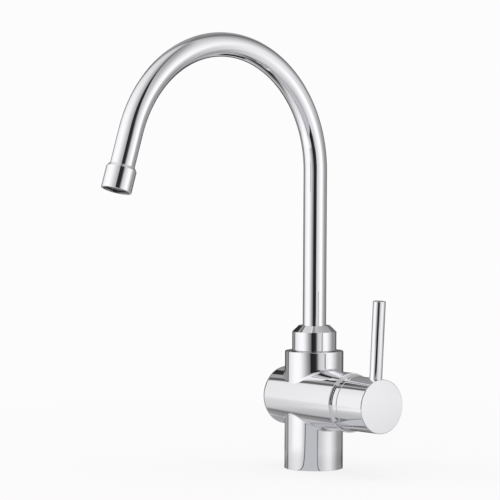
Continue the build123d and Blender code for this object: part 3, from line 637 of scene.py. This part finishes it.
# %% Helpers for finishes
def start_material(name, **numbers):
    """New material. Numbers that are the same all over go on the shader's own sockets."""
    material = bpy.data.materials.new(name)
    material.use_nodes = True
    shader = material.node_tree.nodes["Principled BSDF"]
    for title, value in numbers.items():
        shader.inputs[title.replace("_", " ")].default_value = value
    return material, material.node_tree, shader


def bump(tree, height, depth, normal, strength=1.0, invert=False):
    """Normal bent as if height lifted the surface by up to depth metres, or sank it with invert."""
    return add_node(tree, "ShaderNodeBump", {"invert": invert}, Height=height, Strength=strength,
                    Distance=depth, Normal=normal).outputs[0]


def dress(tree, shader, colour, roughness, normal):
    """Link the three things that change over a surface."""
    tree.links.new(colour, shader.inputs["Base Color"])
    tree.links.new(roughness, shader.inputs["Roughness"])
    tree.links.new(normal, shader.inputs["Normal"])


# %% [markdown]
# Chrome plate over polished brass is a faintly blue mirror. The casting, the drawn tube and the
# turned cap share one recipe: edges rubbed a little duller, clouding in the roughness, hairlines
# from wiping, a few lime rings, and a slow waviness that the buffing wheel left. The waviness is
# only seen in how the reflections bend, so its bump is very low.

# %% Finish: polished chrome
chrome_tint = (0.857, 0.851, 0.876, 1)
chrome_worn = (0.790, 0.790, 0.800, 1)
scratch_depth = 4e-7
ring_spacing = 0.00018


def chrome_finish(name, wave_size, wave_depth, lime=0.25, ring_depth=0.0,
                  axis=(0.0, 0.0, 1.0), centre=(0.0, 0.0, 0.0)):
    """Chrome with its own waviness, and turning rings where the piece was turned."""
    material, tree, shader = start_material(name, Metallic=1.0)
    edges = place_group(tree, edge_rub, Radius=0.00035, Gain=4.0)
    clouds = place_group(tree, clouding, Size=0.028, Low=0.012, High=0.030)
    lines = place_group(tree, hairlines, Size=0.0003, Stretch=80.0, Share=0.5)["Mask"]
    spots = place_group(tree, lime_spots, Size=0.0035, Share=lime)["Mask"]
    dull = maths(tree, "MAXIMUM", times(tree, edges["Mask"], 0.4), spots)
    rough = plus(tree, clouds["Roughness"], times(tree, lines, 0.05), times(tree, dull, 0.12))
    waves = noise(tree, object_place(tree), 1.0 / wave_size, 0.0)
    normal = bump(tree, waves, wave_depth, edges["Normal"])
    if ring_depth:
        rings = place_group(tree, turning_rings, Spacing=ring_spacing, Axis=axis, Centre=centre)["Height"]
        normal = bump(tree, rings, ring_depth, normal)
    normal = bump(tree, lines, scratch_depth, normal, invert=True)
    dress(tree, shader, two_colours(tree, dull, chrome_tint, chrome_worn), rough, normal)
    return material


barrel_axis, barrel_centre = (1.0, 0.0, 0.0), (0.0, -0.0035, 0.0604)
cast_chrome = chrome_finish("cast_chrome", 0.022, 0.00004)
tube_chrome = chrome_finish("tube_chrome", 0.030, 0.00003)
mouth_chrome = chrome_finish("mouth_chrome", 0.016, 0.00002, lime=0.6)
turned_chrome = chrome_finish("turned_chrome", 0.020, 0.00002, ring_depth=3e-8,
                              axis=barrel_axis, centre=barrel_centre)
print("chrome finishes:", [m.name for m in (cast_chrome, tube_chrome, mouth_chrome, turned_chrome)])

# %% [markdown]
# Inside, most metal is bare brass, turned on a lathe and left as it came off. It is yellow where
# it is fresh, browner where it has been wet, and its rings show clearly.

# %% Finish: bare brass
bare_brass, tree, shader = start_material("bare_brass", Metallic=1.0)
edges = place_group(tree, edge_rub, Radius=0.00025, Gain=3.0)
clouds = place_group(tree, clouding, Size=0.008, Low=0.22, High=0.42)
rings = place_group(tree, turning_rings, Spacing=0.00025)["Height"]
fresh, browned, rubbed = (0.80, 0.60, 0.26, 1), (0.55, 0.38, 0.17, 1), (0.90, 0.72, 0.36, 1)
brass = two_colours(tree, edges["Mask"], two_colours(tree, clouds["Mask"], fresh, browned), rubbed)
dress(tree, shader, brass, clouds["Roughness"], bump(tree, rings, 0.000004, edges["Normal"], strength=0.5))
print("finish:", bare_brass.name)

# %% [markdown]
# Seals and gaskets are black nitrile rubber: almost matt, a little greyer where a bloom has come
# to the surface, with the mould's grain and a paler, rubbed edge.

# %% Finish: black rubber
black_rubber, tree, shader = start_material("black_rubber", Specular_IOR_Level=0.35)
edges = place_group(tree, edge_rub, Radius=0.0003, Gain=2.0)
grain = place_group(tree, moulded_grain, Size=0.0005)["Height"]
clouds = place_group(tree, clouding, Size=0.006, Low=0.55, High=0.75)
clean, bloomed, rubbed = (0.018, 0.018, 0.019, 1), (0.035, 0.035, 0.036, 1), (0.07, 0.07, 0.07, 1)
rubber = two_colours(tree, edges["Mask"], two_colours(tree, clouds["Mask"], clean, bloomed), rubbed)
dress(tree, shader, rubber, clouds["Roughness"], bump(tree, grain, 0.00003, edges["Normal"], strength=0.6))
print("finish:", black_rubber.name)

# %% [markdown]
# The sealing discs are alumina ceramic, lapped flat: white, cool and smooth, with faint grey
# lapping marks. A coat gives the dense, glassy skin of fired ceramic.

# %% Finish: ceramic
lapped_ceramic, tree, shader = start_material("lapped_ceramic", Coat_Weight=0.3, Coat_Roughness=0.12)
edges = place_group(tree, edge_rub, Radius=0.0002, Gain=2.0)
clouds = place_group(tree, clouding, Size=0.004, Low=0.18, High=0.30)
lines = place_group(tree, hairlines, Size=0.0002, Stretch=30.0, Share=1.0)["Mask"]
white_body = two_colours(tree, clouds["Mask"], (0.80, 0.79, 0.76, 1), (0.74, 0.73, 0.71, 1))
lapped = two_colours(tree, times(tree, lines, 0.5), white_body, (0.55, 0.55, 0.55, 1))
dress(tree, shader, lapped, clouds["Roughness"], edges["Normal"])
print("finish:", lapped_ceramic.name)

# %% [markdown]
# Slip rings, carrier and aerator parts are moulded acetal and nylon. White, grey and black differ
# only in their colours: a slightly uneven tone, the mould's grain, and edges a shade lighter.


# %% Finish: moulded plastics
def plastic_finish(name, light, shade, edge_colour):
    """Moulded plastic between two close tones, with a paler edge."""
    material, tree, shader = start_material(name, Specular_IOR_Level=0.45)
    edges = place_group(tree, edge_rub, Radius=0.00025, Gain=2.0)
    grain = place_group(tree, moulded_grain, Size=0.00035)
    clouds = place_group(tree, clouding, Size=0.007, Low=0.32, High=0.48)
    tone = two_colours(tree, edges["Mask"], two_colours(tree, grain["Mask"], light, shade), edge_colour)
    grained = bump(tree, grain["Height"], 0.00002, edges["Normal"], strength=0.5)
    dress(tree, shader, tone, clouds["Roughness"], grained)
    return material


black_plastic = plastic_finish("black_plastic", (0.022, 0.022, 0.024, 1), (0.014, 0.014, 0.016, 1),
                               (0.06, 0.06, 0.062, 1))
white_plastic = plastic_finish("white_plastic", (0.72, 0.72, 0.70, 1), (0.66, 0.66, 0.63, 1),
                               (0.80, 0.80, 0.78, 1))
grey_plastic = plastic_finish("grey_plastic", (0.17, 0.175, 0.185, 1), (0.13, 0.135, 0.145, 1),
                              (0.26, 0.265, 0.27, 1))
print("finishes:", black_plastic.name, white_plastic.name, grey_plastic.name)

# %% [markdown]
# The small steel parts, such as the grub screw and the aerator's strainer, are plain stainless:
# greyer than chrome, with a rolled or machined grain and a little lime.

# %% Finish: stainless steel
stainless_steel, tree, shader = start_material("stainless_steel", Metallic=1.0)
edges = place_group(tree, edge_rub, Radius=0.00015, Gain=2.5)
clouds = place_group(tree, clouding, Size=0.005, Low=0.25, High=0.40)
lines = place_group(tree, hairlines, Size=0.00015, Stretch=40.0, Share=1.0)["Mask"]
spots = place_group(tree, lime_spots, Size=0.002, Share=0.5)["Mask"]
steel = two_colours(tree, clouds["Mask"], (0.46, 0.46, 0.47, 1), (0.38, 0.38, 0.39, 1))
steel = two_colours(tree, spots, steel, (0.62, 0.61, 0.58, 1))
rough = plus(tree, clouds["Roughness"], times(tree, lines, 0.1))
dress(tree, shader, steel, rough, bump(tree, lines, 0.000002, edges["Normal"], strength=0.5, invert=True))
print("finish:", stainless_steel.name)

# %% [markdown]
# The outlet's screen is the same steel, but thin etched mesh over a wet, dark hollow. It has its
# own, rougher grey, with edges rubbed brighter and pale lime between the holes.

# %% Finish: outlet screen
screen_steel, tree, shader = start_material("screen_steel", Metallic=1.0)
edges = place_group(tree, edge_rub, Radius=0.0001, Gain=2.0)
clouds = place_group(tree, clouding, Size=0.003, Low=0.30, High=0.50)
spots = place_group(tree, lime_spots, Size=0.0012, Share=0.4)["Mask"]
etched = two_colours(tree, clouds["Mask"], (0.52, 0.52, 0.53, 1), (0.36, 0.36, 0.37, 1))
etched = two_colours(tree, edges["Mask"], etched, (0.66, 0.66, 0.67, 1))
limed = two_colours(tree, spots, etched, (0.60, 0.59, 0.56, 1))
dress(tree, shader, limed, clouds["Roughness"], edges["Normal"])
print("finish:", screen_steel.name)

# %% [markdown]
# Every piece of the CAD model keeps its shape and gets the finish of its material slot, or a
# finish of its own. Chrome comes in four kinds, by how the piece was made.

# %% Finishes on the pieces
finishes = {
    "chrome": cast_chrome, "bare_brass": bare_brass, "black_rubber": black_rubber, "ceramic": lapped_ceramic,
    "white_plastic": white_plastic, "grey_plastic": grey_plastic, "stainless_steel": stainless_steel,
}
own_finish = {
    "aerator_screen": screen_steel, "aerator_housing": black_plastic, "aerator_insert": black_plastic,
    "spout_tube": tube_chrome, "outlet_sleeve": mouth_chrome, "cover_ring": turned_chrome,
    "handle_cap": turned_chrome, "handle_lever": turned_chrome,
}
for name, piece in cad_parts.items():
    for slot in piece.material_slots:
        kind = slot.material.name.split(".")[0]
        slot.material = own_finish.get(name, finishes[kind])
    print(name, "->", [slot.material.name for slot in piece.material_slots])
